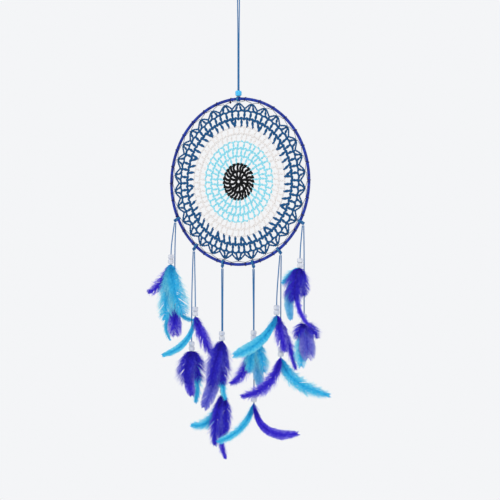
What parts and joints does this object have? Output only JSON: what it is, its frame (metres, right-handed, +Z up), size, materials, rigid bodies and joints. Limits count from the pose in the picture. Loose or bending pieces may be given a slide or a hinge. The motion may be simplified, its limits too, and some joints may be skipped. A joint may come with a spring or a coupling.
{
  "type": "evil eye wall hanging",
  "caption": "Hanging ornament: a crocheted eye in a wrapped hoop on a doubled cord, with beaded feather pendants that swing below it.",
  "frame": {"origin": "top of the inside of the hanging loop, where a hook bears", "axes": "+Z up, -Y the front of the eye, +X to the viewer's right"},
  "size_m": [0.2302, 0.0792, 0.5796],
  "materials": {
    "steel": "brushed",
    "navy_thread": "satin wrapped thread",
    "black_yarn": "crocheted matte yarn",
    "pale_cyan_yarn": "crocheted matte yarn",
    "white_yarn": "crocheted matte yarn",
    "steel_blue_yarn": "crocheted matte yarn",
    "plum_thread": "matte sewing thread",
    "blue_cord": "waxed twisted cord",
    "turquoise_plastic": "moulded, glossy",
    "milky_plastic": "moulded, translucent",
    "cyan_feather": "dyed feather",
    "violet_feather": "dyed feather"
  },
  "bodies": {
    "hanger": {"hanging_loop": "blue_cord", "loop_knot": "blue_cord"},
    "cord": {"hanging_cord": "blue_cord"},
    "hoop": {"hoop_wire": "steel", "hoop_wrapping": "navy_thread", "crochet_pupil": "black_yarn", "crochet_iris": "pale_cyan_yarn", "crochet_white": "white_yarn", "crochet_blue": "steel_blue_yarn", "lacing_thread": "plum_thread", "lacing_knot": "plum_thread", "top_bead": "turquoise_plastic", "top_hitch": "blue_cord", "hitch_1": "blue_cord", "hitch_2": "blue_cord", "hitch_3": "blue_cord", "hitch_4": "blue_cord", "hitch_5": "blue_cord", "hitch_6": "blue_cord"},
    "pendant_1": {"cord_1_upper": "blue_cord", "beads_1_upper": "milky_plastic", "feathers_1_upper": "cyan_feather", "cord_1_lower": "blue_cord", "beads_1_lower": "milky_plastic", "feathers_1_lower": "violet_feather"},
    "pendant_2": {"cord_2_upper": "blue_cord", "beads_2_upper": "milky_plastic", "feathers_2_upper": "violet_feather", "cord_2_lower": "blue_cord", "beads_2_lower": "milky_plastic", "feathers_2_lower": "violet_feather"},
    "pendant_3": {"cord_3_upper": "blue_cord", "beads_3_upper": "milky_plastic", "feathers_3_upper": "violet_feather", "cord_3_lower": "blue_cord", "beads_3_lower": "milky_plastic", "feathers_3_lower": "violet_feather"},
    "pendant_4": {"cord_4_upper": "blue_cord", "beads_4_upper": "milky_plastic", "feathers_4_upper": "cyan_feather", "cord_4_lower": "blue_cord", "beads_4_lower": "milky_plastic", "feathers_4_lower": "violet_feather"},
    "pendant_5": {"cord_5_upper": "blue_cord", "beads_5_upper": "milky_plastic", "feathers_5_upper": "violet_feather", "cord_5_lower": "blue_cord", "beads_5_lower": "milky_plastic", "feathers_5_lower": "violet_feather"},
    "pendant_6": {"cord_6_upper": "blue_cord", "beads_6_upper": "milky_plastic", "feathers_6_upper": "violet_feather", "cord_6_lower": "blue_cord", "beads_6_lower": "milky_plastic", "feathers_6_lower": "violet_feather"}
  },
  "joints": [
    {"name": "cord_swing", "type": "hinge", "parent": "hanger", "child": "cord", "pos_m": [0, 0, -0.017], "axis": [1, 0, 0], "range_deg": [-30, 30]},
    {"name": "hoop_twist", "type": "hinge", "parent": "cord", "child": "hoop", "pos_m": [0, 0, -0.135], "axis": [0, 0, 1], "range_deg": [-180, 180]},
    {"name": "pendant_1_swing", "type": "hinge", "parent": "hoop", "child": "pendant_1", "pos_m": [-0.09443, 0, -0.28606], "axis": [1, 0, 0], "range_deg": [-10, 10]},
    {"name": "pendant_2_swing", "type": "hinge", "parent": "hoop", "child": "pendant_2", "pos_m": [-0.06612, 0, -0.32165], "axis": [1, 0, 0], "range_deg": [-10, 10]},
    {"name": "pendant_3_swing", "type": "hinge", "parent": "hoop", "child": "pendant_3", "pos_m": [-0.02363, 0, -0.34237], "axis": [1, 0, 0], "range_deg": [-10, 10]},
    {"name": "pendant_4_swing", "type": "hinge", "parent": "hoop", "child": "pendant_4", "pos_m": [0.02184, 0, -0.34276], "axis": [1, 0, 0], "range_deg": [-10, 10]},
    {"name": "pendant_5_swing", "type": "hinge", "parent": "hoop", "child": "pendant_5", "pos_m": [0.06026, 0, -0.32606], "axis": [1, 0, 0], "range_deg": [-10, 10]},
    {"name": "pendant_6_swing", "type": "hinge", "parent": "hoop", "child": "pendant_6", "pos_m": [0.09189, 0, -0.29093], "axis": [1, 0, 0], "range_deg": [-10, 10]}
  ]
}
